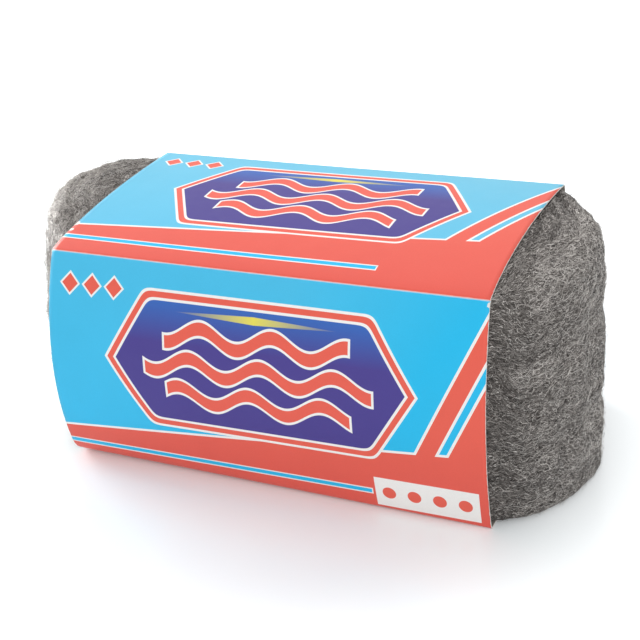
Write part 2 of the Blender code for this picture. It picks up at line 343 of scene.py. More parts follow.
def outward_of(line):
    """Unit vectors out of a closed line that runs clockwise seen from +X."""
    run = unit(np.roll(line, -1, axis=1) - np.roll(line, 1, axis=1))
    return np.stack([-run[..., 1], run[..., 0]], axis=-1)


# %% [markdown]
# The card carries two maps of its surface. The print map counts panels and lengths, and tells the inside
# and the cut ends apart by a large step. The bake map lays both skins and both cut ends flat, side by side.

# %% Build the sleeve
SWELL_HEIGHT = 0.10 * MM
CARD_SWELLS = ((34, 40), 3)
STEADY_FOOT = 20 * MM
INNER_PRINT = 8.0
CUT_PRINT = 16.0
BAKE_GIRTH = 4.2 / 0.98
BAKE_LENGTH = 0.46
BAKE_MARGIN = 0.005
INNER_BAKE = 0.485
CUT_BAKES = (0.965, 0.980)
CUT_BAKE_WIDTH = 0.008


def corner_places(u, v):
    """UV places of the corners of each quad of a grid, in the order of grid_faces."""
    grid = np.stack([u, v], axis=-1)
    return np.stack([grid[:-1, :-1], grid[:-1, 1:], grid[1:, 1:], grid[1:, :-1]], axis=2).reshape(-1, 4, 2)


def bake_across(girth):
    """How far across the bake map a place round the girth lies."""
    return girth / BAKE_GIRTH + BAKE_MARGIN


def build_sleeve():
    """Both skins and both cut ends in one closed shell, with its print map and its bake map."""
    x = np.linspace(-SLEEVE_LENGTH / 2, SLEEVE_LENGTH / 2, STATIONS)
    line, lift, place = girth_grid(x)
    rows, columns = place.shape
    out = outward_of(line)
    free = np.clip(line[..., 1:] / STEADY_FOOT, 0.0, 1.0)
    swell = cloud((rows, columns), *CARD_SWELLS)[..., None] * SWELL_HEIGHT * free
    raised = line + out * swell + np.array([CARD_THICKNESS, 0.0]) * lift[None, :, None]
    sunk = line + out * (swell - CARD_THICKNESS)
    depth = np.broadcast_to(x[:, None, None], (rows, columns, 1))
    skins = np.stack([np.concatenate([depth, raised], axis=2), np.concatenate([depth, sunk], axis=2)])
    skin_faces = grid_faces(rows, columns, True)
    first_end = rim_faces(columns, 0, rows * columns)
    last_end = rim_faces(columns, (rows - 1) * columns, (2 * rows - 1) * columns)
    girth = np.concatenate([place, place[:, :1] + PANELS], axis=1)
    length = np.broadcast_to(x[:, None] / SLEEVE_LENGTH + 0.5, girth.shape)
    print_map = corner_places(length, girth)
    bake_map = corner_places(bake_across(girth), length * BAKE_LENGTH + 2 * BAKE_MARGIN)
    return mesh_from_arrays(
        "printed_sleeve",
        skins,
        [skin_faces[:, ::-1], skin_faces + rows * columns, first_end, last_end[:, ::-1]],
        {
            "Print": [
                print_map[:, ::-1],
                print_map + np.array([0.0, INNER_PRINT]),
                np.full((2 * columns, 4, 2), (0.5, CUT_PRINT)),
            ],
            "OFBake": [
                bake_map[:, ::-1],
                bake_map + np.array([0.0, INNER_BAKE]),
                cut_bake_map(bake_across(girth[0])),
            ],
        },
    )


def rim_faces(columns, outer, inner):
    """Quads of one cut end, between a ring of the outer skin and the same ring of the inner skin."""
    here = np.arange(columns)
    after = (here + 1) % columns
    return np.stack([outer + here, outer + after, inner + after, inner + here], axis=1)


def cut_bake_map(across):
    """Two narrow strips of the bake map for the two cut ends."""
    strips = []
    for low in CUT_BAKES:
        height = np.array([[low], [low + CUT_BAKE_WIDTH]]) + 0.0 * across
        strips.append(corner_places(np.stack([across, across]), height))
    return np.concatenate(strips)


sleeve = build_sleeve()

# %% [markdown]
# ## The roll as a grid
#
# Seen from above the roll is a long oval whose ends are superellipses: a quarter of such an end has the
# reach cos^(2/p) and the side sin^(2/p) of an angle. Rows of the grid go from the eye of the lower face
# out to the foot, up the wall, over the shoulder and in to the eye of the upper face. The columns follow
# the winding. A ring that steps in by an inset keeps the outline's form, and so traces one turn. Sculpting
# could give this form as well, but on a grid the fibres later know which way the winding runs.

# %% Sizes of the roll
LEFT_OVERHANG = 27.5 * MM
RIGHT_OVERHANG = 27.3 * MM
LEFT_CAP = 36.0 * MM
RIGHT_CAP = 35.0 * MM
LEFT_POWERS = (1.45, 1.95)
RIGHT_POWERS = (1.90, 1.60)
MOUTH_SHOULDER = 2.5 * MM
SHOULDER_RADII = (11.5 * MM, 5.5 * MM)
FOOT_RADIUS = 3.0 * MM
SWELLS = (3.0 * MM, 0.4 * MM)
BACK_EASE = 4.5 * MM
EASE_LENGTH = 14.0 * MM
ROLL_CLEARANCE = 0.5 * MM
TURN_THICKNESS = 9.0 * MM
TURN_GROOVE = 1.4 * MM
EYE_HALF_WIDTH = 2.0 * MM
NECK_HEIGHT = 0.7 * MM
NECK_SPACING = 37.0 * MM
NECK_MIDDLE = 47.0 * MM
TUFT_HEIGHT = 1.0 * MM
TUFT_SPACING = 19.0 * MM
MARGIN = CARD_THICKNESS + ROLL_CLEARANCE
HALF_DEPTH = TOP_DEPTH / 2 - MARGIN
CAP_SAMPLES = 2000
CAP_COLUMNS = 84
RUN_COLUMNS = 14


# %% Outline seen from above
def end_cap(length, power):
    """Reach and side along a quarter of an end, at even steps of its real length."""
    angle = np.linspace(0.0, math.pi / 2, CAP_SAMPLES)
    reach = length * np.power(np.cos(angle), 2 / power)
    reach[-1] = 0.0
    side = np.power(np.sin(angle), 2 / power)
    step = np.hypot(np.diff(reach), np.diff(side) * HALF_DEPTH)
    travelled = np.concatenate([[0.0], np.cumsum(step)])
    stops = np.linspace(0.0, travelled[-1], CAP_COLUMNS + 1)
    return np.interp(stops, travelled, reach), np.interp(stops, travelled, side)


def half_outline(left_power, right_power):
    """Centre, reach and side from the tip of the right end, along the run, to the left tip."""
    right_centre = SLEEVE_LENGTH / 2 + RIGHT_OVERHANG - RIGHT_CAP
    left_centre = -SLEEVE_LENGTH / 2 - LEFT_OVERHANG + LEFT_CAP
    run = np.arange(1, RUN_COLUMNS) / RUN_COLUMNS
    right_reach, right_side = end_cap(RIGHT_CAP, right_power)
    left_reach, left_side = end_cap(LEFT_CAP, left_power)
    centre = np.concatenate([
        np.full(CAP_COLUMNS + 1, right_centre),
        right_centre + (left_centre - right_centre) * run,
        np.full(CAP_COLUMNS + 1, left_centre),
    ])
    reach = np.concatenate([right_reach, 0.0 * run, -left_reach[::-1]])
    side = np.concatenate([right_side, 1.0 + 0.0 * run, left_side[::-1]])
    return centre, reach, side


def plan_outline():
    """The whole outline: the back from right to left, then the front from left to right."""
    back = half_outline(LEFT_POWERS[1], RIGHT_POWERS[1])
    front = half_outline(LEFT_POWERS[0], RIGHT_POWERS[0])
    inner = slice(-2, 0, -1)
    signs = (1.0, 1.0, -1.0)
    return [np.concatenate([one, sign * other[inner]]) for one, other, sign in zip(back, front, signs)]


# %% [markdown]
# The roll fills the card, so its sides and its top lie one small margin inside the panels. Past the
# sleeve's mouths nothing holds it down: it swells, and sinks to the ground.

# %% Sides, top and bottom of the roll
def past_mouth(x):
    """0 inside the sleeve, rising to 1 over a short length outside its mouths."""
    return smooth_step((np.abs(x) - SLEEVE_LENGTH / 2) / EASE_LENGTH)


def roll_sides(x, z):
    """Y of the roll's front and back at a place and a height: inside the card, and eased past it."""
    front_y = front_panel(x, np.clip(z / FRONT_HEIGHT, 0.0, 1.0))[0]
    back_y = back_panel(x, np.clip(1.0 - z / BACK_HEIGHT, 0.0, 1.0))[0]
    return front_y + MARGIN, back_y - MARGIN - BACK_EASE * past_mouth(x)


def roll_top(x, y):
    """Z of the upper face: under the card's crown, and swollen past the mouths."""
    share = np.clip(y / TOP_DEPTH + 0.5, 0.0, 1.0)
    return top_panel(x, share)[1] - MARGIN + along_sleeve(x, SWELLS) * past_mouth(x)


def roll_bottom(x):
    """Z of the lower face: on the card inside the sleeve, and on the ground past it."""
    return MARGIN * (1.0 - past_mouth(x))


def shoulder_radius(x, side):
    """Rounding of the upper rim: tight in the card's corners, and wider past the mouths."""
    free = SHOULDER_RADII[0] + (SHOULDER_RADII[1] - SHOULDER_RADII[0]) * smooth_step(0.5 + 0.5 * side)
    return MOUTH_SHOULDER + (free - MOUTH_SHOULDER) * past_mouth(x)


def foot_radius(x, side):
    """Rounding of the lower rim: wider where it lies in the soft front fold of the card."""
    return FOOT_RADIUS + front_fold(x) * smooth_step(-side)


def end_lumps(reach, side, x, z):
    """How far the free ends bulge out: necks and swells, and tufts that alternate like bricks.

    The tufts are cos(r + c) cos(r - c), with r the height and c the way round the end from its tip.
    """
    cap = np.where(reach < 0.0, LEFT_CAP, RIGHT_CAP)
    round_end = HALF_DEPTH * side + (cap - np.abs(reach)) * np.sign(side)
    row, column = math.pi * z / TUFT_SPACING, math.pi * round_end / TUFT_SPACING
    tufts = np.cos(row + column) * np.cos(row - column)
    swells = NECK_HEIGHT * np.cos(2 * math.pi * (z - NECK_MIDDLE) / NECK_SPACING) * np.sign(x)
    return (swells + TUFT_HEIGHT * tufts) * past_mouth(x)


def turn_groove(turns_in, centre, side):
    """Depth of the groove between turns. The winding steps in by one turn along the back run."""
    from_right = (centre.max() - centre) / (centre.max() - centre.min())
    stepped = np.where(np.isclose(side, 1.0), smooth_step(from_right), 0.0)
    wave = np.cos(2 * math.pi * (0.5 + turns_in + stepped))
    return TURN_GROOVE * (0.5 + 0.5 * wave) ** 2


# %% [markdown]
# Every row needs three things: how far it steps in, whether its height hangs from the top or stands on
# the bottom, and how far off that it lies. Then all rows are worked out in one go. The sides depend on
# the height and the top on the sides, so the two are settled in a few rounds.

# %% Rows of the roll
WALL_ROWS = 66
RIM_ROWS = 9
ROWS_PER_TURN = 9
SETTLE_ROUNDS = 4
WALL_FADE = 4.0


def roll_rows(centre, reach, side):
    """Inset, blend (0 on the bottom, 1 at the top) and offset for every row and column."""
    shoulder = shoulder_radius(centre + reach, side)
    foot = foot_radius(centre, side)
    turns = max(2, round((HALF_DEPTH - SHOULDER_RADII[0]) / TURN_THICKNESS))
    face = (np.arange(1, turns * ROWS_PER_TURN + 1) / (turns * ROWS_PER_TURN))[:, None]
    angle = (np.arange(1, RIM_ROWS + 1) / RIM_ROWS * math.pi / 2)[:, None]
    level = np.linspace(0.0, 1.0, WALL_ROWS)[:, None]
    groove = turn_groove(face * turns, centre, side)
    parts = []
    for radius, blend, sign in ((foot, 0.0, 1.0), (shoulder, 1.0, -1.0)):
        rim = (radius * (1 - np.cos(angle)), blend + 0.0 * angle * side, sign * radius * (1 - np.sin(angle)))
        inset = radius + (HALF_DEPTH - EYE_HALF_WIDTH - radius) * face
        flat = (inset, blend + 0.0 * inset, sign * groove)
        parts.append([np.concatenate(pair) for pair in zip(rim, flat)])
    wall = (0.0 * level * side, level + 0.0 * side, foot * (1 - level) - shoulder * level)
    lower = [part[::-1] for part in parts[0]]
    return [np.concatenate(three) for three in zip(lower, wall, parts[1])]


def roll_grid():
    """Points of the roll, rows by columns, with the soft swells and necks of its free ends."""
    centre, reach, side = plan_outline()
    inset, blend, offset = roll_rows(centre, reach, side)
    scale = 1.0 - inset / HALF_DEPTH
    x = centre + reach * scale
    z = np.full_like(x, FRONT_HEIGHT / 2)
    for _ in range(SETTLE_ROUNDS):
        front_y, back_y = roll_sides(x, z)
        y = front_y + (back_y - front_y) * (side * scale + 1.0) / 2.0
        z = roll_bottom(x) * (1 - blend) + roll_top(x, y) * blend + offset
    on_wall = smooth_step(WALL_FADE * blend) * smooth_step(WALL_FADE * (1.0 - blend))
    lump = end_lumps(reach, side, x, z) * on_wall
    along = np.sqrt(1.0 - side ** 2) * np.sign(x)
    return np.stack([x + lump * along, y + lump * side, z], axis=-1)


def grid_steps(grid):
    """Steps of a grid that closes round its columns: to the next row and to the next column."""
    return np.gradient(grid, axis=0), (np.roll(grid, -1, axis=1) - np.roll(grid, 1, axis=1)) / 2


def normals_of(grid):
    """Unit normals of a grid: the cross product of its two steps."""
    up, ahead = grid_steps(grid)
    return unit(np.cross(ahead, up))


roll_smooth = roll_grid()
print("roll grid", roll_smooth.shape, "lowest and highest, mm:",
      np.round(roll_smooth.min((0, 1)) / MM, 1), np.round(roll_smooth.max((0, 1)) / MM, 1))

# %% [markdown]
# ## Clumps in the wool
#
# Real wool isn't a smooth loaf. Bundles of fibres lie along the winding, thicker here and thinner there.
# Two random fields do this: long low clumps that run along the winding, and smaller tufts. They only act
# outside the sleeve, where the wool is free. There the body also lies a little inside the solid, so that
# the fibres laid on it end at the solid's surface. A Displace modifier does the same from a texture, but
# the fibres need the moved points, so the fields are added to the points themselves.

# %% Clumps
CLUMP_HEIGHT = 0.22 * MM
# The smallest swell of a random field, in rows and in columns, and its seed.
CLUMPS = ((5, 16), 11)
TUFTS = ((2.6, 4), 12)
BODY_INSET = 0.35 * MM
FREE_FROM = -1.0 * MM
FREE_CHANGE = 4.0 * MM


def free_wool(x):
    """1 where the wool is free of the card, 0 under it, with a short change at the mouths."""
    return smooth_step((np.abs(x) - SLEEVE_LENGTH / 2 - FREE_FROM) / FREE_CHANGE)


def add_clumps(grid):
    """Moves the free surface along its normals by two random fields, less the fibres' thickness."""
    clumps = (cloud(grid.shape[:2], *CLUMPS) + cloud(grid.shape[:2], *TUFTS)) * CLUMP_HEIGHT
    free = free_wool(grid[..., 0])
    moved = grid + normals_of(grid) * ((clumps - BODY_INSET) * free)[..., None]
    moved[..., 2] = np.maximum(moved[..., 2], 0.0)
    return moved


roll_points = add_clumps(roll_smooth)
roll_normals = normals_of(roll_points)
print("clumps move the surface by up to", round(np.abs(roll_points - roll_smooth).max() / MM, 2), "mm")

# %% [markdown]
# The body is one closed skin under the fibres. The eye of the winding is a narrow slot on either face. A
# row of quads with a triangle at each end fills it, so that nothing is open.

# %% Build the body of the roll
WALL_BAKE = (0.02, 0.98)
LOW_EYE_BAKE = (0.5, 0.01)
HIGH_EYE_BAKE = (0.5, 0.99)


def eye_faces(columns, first):
    """Quads and two triangles that close the slot in the middle of one face of the winding."""
    half = columns // 2
    here = np.arange(1, half - 1)
    quads = np.stack([here, here + 1, columns - here - 1, columns - here], axis=1)
    triangles = np.array([[0, 1, columns - 1], [half - 1, half, half + 1]])
    return first + quads, first + triangles


def build_roll():
    """The closed body: the grid's quads, and both eyes filled."""
    rows, columns, _ = roll_points.shape
    quads = grid_faces(rows, columns, True)
    low_quads, low_triangles = eye_faces(columns, 0)
    high_quads, high_triangles = eye_faces(columns, (rows - 1) * columns)
    across = np.linspace(0.0, 1.0, columns + 1)[None, :]
    up = np.linspace(*WALL_BAKE, rows)[:, None]
    bake = corner_places(*np.broadcast_arrays(across, up))
    low_eye = np.broadcast_to(LOW_EYE_BAKE, (len(low_quads), 4, 2))
    high_eye = np.broadcast_to(HIGH_EYE_BAKE, (len(high_quads), 4, 2))
    both_ends = np.concatenate([low_triangles[:, ::-1], high_triangles])
    ends_map = np.broadcast_to(HIGH_EYE_BAKE, (4, 3, 2))
    return mesh_from_arrays(
        "wound_wool",
        roll_points,
        [quads, low_quads[:, ::-1], high_quads, both_ends],
        {"OFBake": [bake, low_eye, high_eye, ends_map]},
    )


wound_wool = build_roll()

# %% [markdown]
# ## Fibres
#
# Steel wool is shaved off a wire, so each fibre is a thin flat ribbon that curls. Here a fibre is a strip
# of a few quads that walks over the roll's grid: it starts at a random place, heads roughly along the
# winding, and its heading wanders in waves. All fibres of a batch take each step together, as arrays.
# Blender's hair could grow them, but a mesh of strips also goes into the exported model as it is.

# %% Reading the grid between its points
SHORT_OF_END = 1.001


def read_grid(field, row, column):
    """Values of a grid between its points: the four neighbours, weighted by nearness."""
    row = np.clip(row, 0.0, field.shape[0] - SHORT_OF_END)
    low_row = np.floor(row).astype(int)
    low_column = np.floor(column).astype(int)
    row_share = (row - low_row)[..., None]
    column_share = (column - low_column)[..., None]
    near = low_column % field.shape[1]
    far = (low_column + 1) % field.shape[1]
    lower = field[low_row, near] * (1 - column_share) + field[low_row, far] * column_share
    upper = field[low_row + 1, near] * (1 - column_share) + field[low_row + 1, far] * column_share
    return lower * (1 - row_share) + upper * row_share


spacing = np.stack([np.linalg.norm(step, axis=2) for step in grid_steps(roll_points)], axis=-1)
cell_area = spacing[..., 0] * spacing[..., 1]

# %% [markdown]
# A fibre starts only where the wool shows: past the card's mouths, or just inside them, and not under the
# roll. The chance of a start goes with the area of the grid's cell, so the fibres spread evenly.

# %% Where fibres start
MOUTH_REACH = 2.5 * MM
HIDDEN_BELOW = 1.5 * MM
FACING_DOWN = -0.5


def start_weights(end):
    """Chance of each cell at one end of the roll: -1 for the left end, 1 for the right."""
    x, z = roll_points[..., 0], roll_points[..., 2]
    underneath = (roll_normals[..., 2] < FACING_DOWN) & (z < HIDDEN_BELOW)
    weight = cell_area * ((x * end > SLEEVE_LENGTH / 2 - MOUTH_REACH) & ~underneath)
    return weight / weight.sum()


def pick_starts(rng, end, count):
    """Random rows and columns, more of them in bigger cells."""
    chances = np.cumsum(start_weights(end).ravel())
    picked = np.searchsorted(chances, rng.random(count) * chances[-1])
    rows, columns = np.unravel_index(picked, cell_area.shape)
    return rows + rng.random(count) - 0.5, columns + rng.random(count) - 0.5


# %% [markdown]
# The walk: a fibre starts off along the winding, give or take a spread. At the right end this lay slopes,
# more and more toward the tip. At each step the heading turns by a steady curl and by a wave, and the
# place moves along the winding and across it. Where the fibre stands off the surface, it rises as an arch,
# or one end lifts. Under the card the height is held down, so that no fibre comes through.

# %% Walking fibres
STRAY_SHARE = 0.08
LEAST_CELL = 0.05 * MM
SWING_RANGE = (0.4, 1.3)
PITCH_RANGE = (0.7, 1.5)


def walk_fibres(rng, starts, length, tilt, style):
    """Rows and columns along every fibre. The heading is a tilt with a spread, plus a curl, plus a wave."""
    row, column = starts
    count = len(row)
    steps = style["steps"]
    heading = rng.normal(tilt, style["spread"], count)
    heading += np.where(rng.random(count) < 0.5, math.pi, 0.0)
    stray = rng.random(count) < STRAY_SHARE
    heading = np.where(stray, rng.uniform(-math.pi, math.pi, count), heading)
    turn = rng.normal(0.0, style["curl"], count)
    swing = style["wave"] * rng.uniform(*SWING_RANGE, count)
    phase = rng.uniform(0.0, 2 * math.pi, count)
    pitch = style["wave_length"] * rng.uniform(*PITCH_RANGE, count)
    rows, columns = [row], [column]
    for step in range(steps):
        travelled = (step + 0.5) / steps * length
        angle = heading + turn * travelled + swing * np.sin(2 * math.pi * travelled / pitch + phase)
        cell = np.maximum(read_grid(spacing, row, column), LEAST_CELL)
        column = column + np.cos(angle) * length / steps / cell[:, 1]
        row = np.clip(row + np.sin(angle) * length / steps / cell[:, 0], 0.0, roll_points.shape[0] - 1.0)
        rows.append(row)
        columns.append(column)
    return np.stack(rows, axis=1), np.stack(columns, axis=1)


CARD_GAP = 0.3 * MM
FIBRE_SLOPE = 1.2


def fibre_heights(rng, x, style):
    """Height of every point over the surface: a base, an arch along the fibre and a lifted end.

    It is held low under the card, and may rise with the distance past its mouth.
    """
    count, points = x.shape
    share = np.linspace(0.0, 1.0, points)[None, :]
    depth = rng.uniform(*style["base"], count)[:, None]
    bow = style["arch"] * rng.exponential(1.0, count)[:, None] * np.sin(math.pi * share)
    lift = style["lift"] * rng.exponential(1.0, count)[:, None] * share ** 2
    past = np.maximum(np.abs(x) - SLEEVE_LENGTH / 2 - CARD_GAP, 0.0)
    return np.minimum(depth + bow + lift, CARD_GAP + past * FIBRE_SLOPE)


# %% [markdown]
# A walk becomes a ribbon: its two edges lie half a width to either side of its line, and it is twisted a
# little out of the surface. Round hairs would need many more faces, and the real fibres are flat, too.

# %% Turning walks into ribbons
TONE_COLUMNS = 64
COLUMN_EDGES = (0.1, 0.9)
STRIP_HEIGHT = 0.25
TIP_WIDTH = 0.35
FLOOR_GAP = 0.1 * MM


def ribbon_mesh(name, centreline, normal, width, twist, tone, start_v):
    """Flat strips along centrelines. Each has its own width and twist, and narrows at both ends.

    On the bake map a strip fills one of 64 columns, which is its tone, and a stretch of its height.
    """
    count, points, _ = centreline.shape
    along = unit(np.gradient(centreline, axis=1))
    across = unit(np.cross(along, normal))
    out = np.cross(across, along)
    side = across * np.cos(twist)[:, None, None] + out * np.sin(twist)[:, None, None]
    share = np.linspace(0.0, 1.0, points)
    taper = TIP_WIDTH + (1.0 - TIP_WIDTH) * np.sqrt(np.clip(np.sin(math.pi * share), 0.0, 1.0))
    half = side * (width[:, None] * taper[None, :] / 2)[..., None]
    places = np.stack([centreline - half, centreline + half], axis=2)
    places[..., 2] = np.maximum(places[..., 2], FLOOR_GAP)
    numbers = np.arange(count * points * 2).reshape(count, points, 2)
    faces = np.stack([numbers[:, :-1, 0], numbers[:, 1:, 0], numbers[:, 1:, 1], numbers[:, :-1, 1]], axis=-1)
    column = np.clip((tone * TONE_COLUMNS).astype(int), 0, TONE_COLUMNS - 1)[:, None]
    v = start_v[:, None] + share[None, :] * STRIP_HEIGHT
    near, far = (np.stack([(column + edge) / TONE_COLUMNS + 0.0 * v, v], axis=-1) for edge in COLUMN_EDGES)
    uv = np.stack([near[:, :-1], near[:, 1:], far[:, 1:], far[:, :-1]], axis=2)
    return mesh_from_arrays(name, places, [faces.reshape(-1, 4)], {"OFBake": [uv]})


# %% [markdown]
# A fibre's tone says how pale it is. Most are a middle grey. Tone follows the clumps a little, so that
# bundles read as bundles. It is darker near the card's edge, as painted shade from the card, and paler
# where the wool faces up, as painted light from above. There are five kinds. A dark layer lies on the body.
# Longer pale fibres and short ones, little more than specks, lie over it. Very thin ones stand off as a
# fuzz, and a few long ones stray across.

# %% One batch of fibres
LAY_TILT = {1: -0.26, -1: 0.0}
TILT_REACH = 24 * MM
WIDE_TONES = ((5, 14), 21)
FINE_TONES = ((2.6, 6), 22)
# Painted shade: fibres are darker close to the card's mouths.
SHADE_BY_CARD = 0.36
SHADE_REACH = 24 * MM
# Painted light: fibres are paler where the wool faces up.
PAINTED_LIGHT_ABOVE = 0.20
UPWARD_RISE = 1.4
tone_field = 0.025 * cloud(cell_area.shape, *WIDE_TONES) + 0.03 * cloud(cell_area.shape, *FINE_TONES)


def past_card(starts):
    """How far past the sleeve's mouth each fibre starts."""
    return np.abs(read_grid(roll_points, *starts)[:, 0]) - SLEEVE_LENGTH / 2


def fibre_tones(rng, starts, style):
    """Tone of each fibre: its kind's, with a spread, the clumps, painted shade by the card and painted light
    above.
    """
    clump = read_grid(tone_field[..., None], *starts)[:, 0]
    shade = SHADE_BY_CARD * (1.0 - smooth_step(past_card(starts) / SHADE_REACH))
    above = PAINTED_LIGHT_ABOVE * smooth_step(UPWARD_RISE * unit(read_grid(roll_normals, *starts))[:, 2])
    return style["tone"] + style["tone_spread"] * rng.standard_normal(len(clump)) + clump - shade + above


def fibre_batch(name, seed, end, count, style):
    """A batch of fibres at one end of the roll. Toward the tip their lay slopes more."""
    rng = np.random.default_rng(seed)
    starts = pick_starts(rng, end, count)
    length = rng.uniform(*style["length"], count)
    tilt = LAY_TILT[end] * smooth_step(past_card(starts) / TILT_REACH)
    walk = walk_fibres(rng, starts, length, tilt, style)
    surface = read_grid(roll_points, *walk)
    normal = unit(read_grid(roll_normals, *walk))
    height = fibre_heights(rng, surface[..., 0], style)
    width = rng.uniform(*style["width"], count)
    twist = rng.normal(0.0, style["twist"], count)
    tone = fibre_tones(rng, starts, style)
    start_v = rng.uniform(0.0, 1.0 - STRIP_HEIGHT, count)
    centreline = surface + normal * height[..., None]
    return ribbon_mesh(name, centreline, normal, width, twist, tone, start_v)


# %% [markdown]
# Each kind is a short list of settings: ranges of length, height and width, how far the heading spreads,
# curls and waves, and the tone. The kinds at the left end have paler tones, as painted light on that end,
# and its fuzz is near white, as a painted rim light.

# %% The kinds of fibre
IN_MILLIMETRES = ("length", "wave_length", "base", "arch", "lift", "width")


def kind(**settings):
    """Settings of one kind of fibre. Those that are lengths are given in millimetres."""
    return settings | {name: np.array(settings[name]) * MM for name in IN_MILLIMETRES if name in settings}


UNDER = kind(
    length=(2.0, 4.5), steps=2, spread=0.24, curl=50.0, wave=0.30, wave_length=5.0,
    base=(0.0, 0.20), arch=0.04, lift=0.03, width=(0.20, 0.38), twist=0.6, tone=0.42, tone_spread=0.22)
OVER = kind(
    length=(1.2, 3.0), steps=2, spread=0.27, curl=120.0, wave=0.42, wave_length=3.0,
    base=(0.10, 0.36), arch=0.06, lift=0.06, width=(0.09, 0.21), twist=0.7, tone=0.68, tone_spread=0.34)
SPECK = kind(
    length=(0.6, 1.5), steps=1, spread=0.60, curl=0.0, wave=0.2, wave_length=3.0,
    base=(0.12, 0.42), arch=0.0, lift=0.08, width=(0.24, 0.52), twist=0.7, tone=0.66, tone_spread=0.45)
FUZZ = kind(
    length=(2.0, 5.5), steps=3, spread=0.7, curl=150.0, wave=0.8, wave_length=4.0,
    base=(0.20, 1.10), arch=0.25, lift=0.40, width=(0.07, 0.13), twist=0.9, tone=0.95, tone_spread=0.06)
STRAY = kind(
    length=(5.0, 16.0), steps=12, spread=0.28, curl=40.0, wave=0.7, wave_length=6.0,
    base=(0.3, 0.55), arch=0.25, lift=0.20, width=(0.10, 0.18), twist=0.9, tone=0.90, tone_spread=0.08)
# Near-white fuzz at the left end: a painted rim light.
PAINTED_RIM_FUZZ = FUZZ | kind(
    length=(2.0, 6.0), base=(0.20, 1.50), lift=0.35, width=(0.06, 0.11), tone=0.98, tone_spread=0.04)
# Name, seed, end of the roll (1 is the right one), how many fibres, and their kind.
BATCHES = [
    ("under_fibres_right", 101, 1, 30000, UNDER),
    # The left batches take paler tones as painted light on that end.
    ("under_fibres_left", 102, -1, 22000, UNDER | kind(tone=0.54)),
    ("over_fibres_right", 103, 1, 42000, OVER),
    ("over_fibres_left", 104, -1, 30000, OVER | kind(tone=0.96)),
    ("stray_fibres_right", 105, 1, 750, STRAY),
    ("stray_fibres_left", 106, -1, 350, STRAY),
    ("fuzz_right", 107, 1, 3000, FUZZ),
    ("fuzz_left", 108, -1, 17000, PAINTED_RIM_FUZZ),
    ("short_fibres_right", 109, 1, 56000, SPECK),
    ("short_fibres_left", 110, -1, 36000, SPECK | kind(tone=0.98)),
]
fibres = [fibre_batch(*batch) for batch in BATCHES]

# %% [markdown]
# ## Into the frame
#
# So far X and Y were measured from the middle of the sleeve's top panel. The frame's sleeve says where
# that middle lies, and every new mesh moves there by its points, so that its object stays at the origin.

# %% Move the meshes into place
def points_of(piece):
    """The points of a piece's mesh, one row of X, Y and Z for each."""
    places = np.empty(len(piece.data.vertices) * 3, np.float32)
    piece.data.vertices.foreach_get("co", places)
    return places.reshape(-1, 3)


own_y = points_of(sleeve)[:, 1].astype(float)
own_middle_y = (own_y.min() + own_y.max()) / 2
ORIGIN = np.array([SLEEVE_MIDDLE_X, (sleeve_low.y + sleeve_high.y) / 2 - own_middle_y, 0.0])
pieces = [sleeve, wound_wool] + fibres
for piece in pieces:
    moved = points_of(piece) + ORIGIN.astype(np.float32)
    piece.data.vertices.foreach_set("co", moved.ravel())
    piece.data.update()
print("moved by, mm:", np.round(ORIGIN / MM, 2))
add_camera(ORIGIN)

# %% [markdown]
# ## Shader helpers
#
# The print is drawn by arithmetic, not by a picture. A shape is a distance: below 0 inside, above 0
# outside. Clamping that distance over a tenth of a millimetre gives a mask with a clean edge, and masks
# mix one ink over another. Unlike an image, such a print is sharp from any distance. A small class lets
# the sums be written as sums, and makes a node for each.

# %% Fields: values that a material works out
class Field:
    """A value worked out at every point of a surface: a node's output that can be added and multiplied."""

    def __init__(self, tree, socket):
        self.tree = tree
        self.socket = socket

    def __add__(self, other):
        return calc("ADD", self, other)

    def __sub__(self, other):
        return calc("SUBTRACT", self, other)

    def __rsub__(self, other):
        return calc("SUBTRACT", other, self)

    def __mul__(self, other):
        return calc("MULTIPLY", self, other)

    def __abs__(self):
        return calc("ABSOLUTE", self)


def put(socket, value):
    """Links a field to a socket, or writes a number or colour into it."""
    if isinstance(value, Field):
        value.tree.links.new(value.socket, socket)
    else:
        socket.default_value = value


def set_inputs(node, inputs):
    """Sets a node's inputs, given by name or by number."""
    for name, value in inputs.items():
        put(node.inputs[name], value)


def field_from(tree, node_type, output, inputs, **settings):
    """A new node with its inputs and settings given by name, and one of its outputs as a field."""
    node = tree.nodes.new("ShaderNode" + node_type)
    for name, value in settings.items():
        setattr(node, name, value)
    set_inputs(node, inputs)
    return Field(tree, node.outputs[output])


def calc(operation, *values):
    """One Math node: an operation on one, two or three numbers or fields."""
    tree = next(value.tree for value in values if isinstance(value, Field))
    return field_from(tree, "Math", 0, dict(enumerate(values)), operation=operation)


def vector_calc(operation, *values):
    """One Vector Math node on colours or places. A length comes out as a number."""
    output = "Value" if operation == "LENGTH" else "Vector"
    return field_from(values[0].tree, "VectorMath", output, dict(enumerate(values)), operation=operation)


# %% Node helpers
def new_material(name):
    """An empty node material with a Principled BSDF joined to its output."""
    material = bpy.data.materials.new(name)
    material.use_nodes = True
    tree = material.node_tree
    tree.nodes.clear()
    shader = tree.nodes.new("ShaderNodeBsdfPrincipled")
    output = tree.nodes.new("ShaderNodeOutputMaterial")
    tree.links.new(shader.outputs["BSDF"], output.inputs["Surface"])
    return material, tree, shader


def mix(share, under, over):
    """One colour over another, by a share from 0 to 1."""
    inputs = {"Factor": share, "A": under, "B": over}
    return field_from(share.tree, "Mix", "Result", inputs, data_type="RGBA")


def noise(place, scale, detail=2.0, roughness=0.5):
    """A noise value from 0 to 1, at a scale in swells per unit of the place."""
    inputs = {"Vector": place, "Scale": scale, "Detail": detail, "Roughness": roughness}
    return field_from(place.tree, "TexNoise", "Fac", inputs)


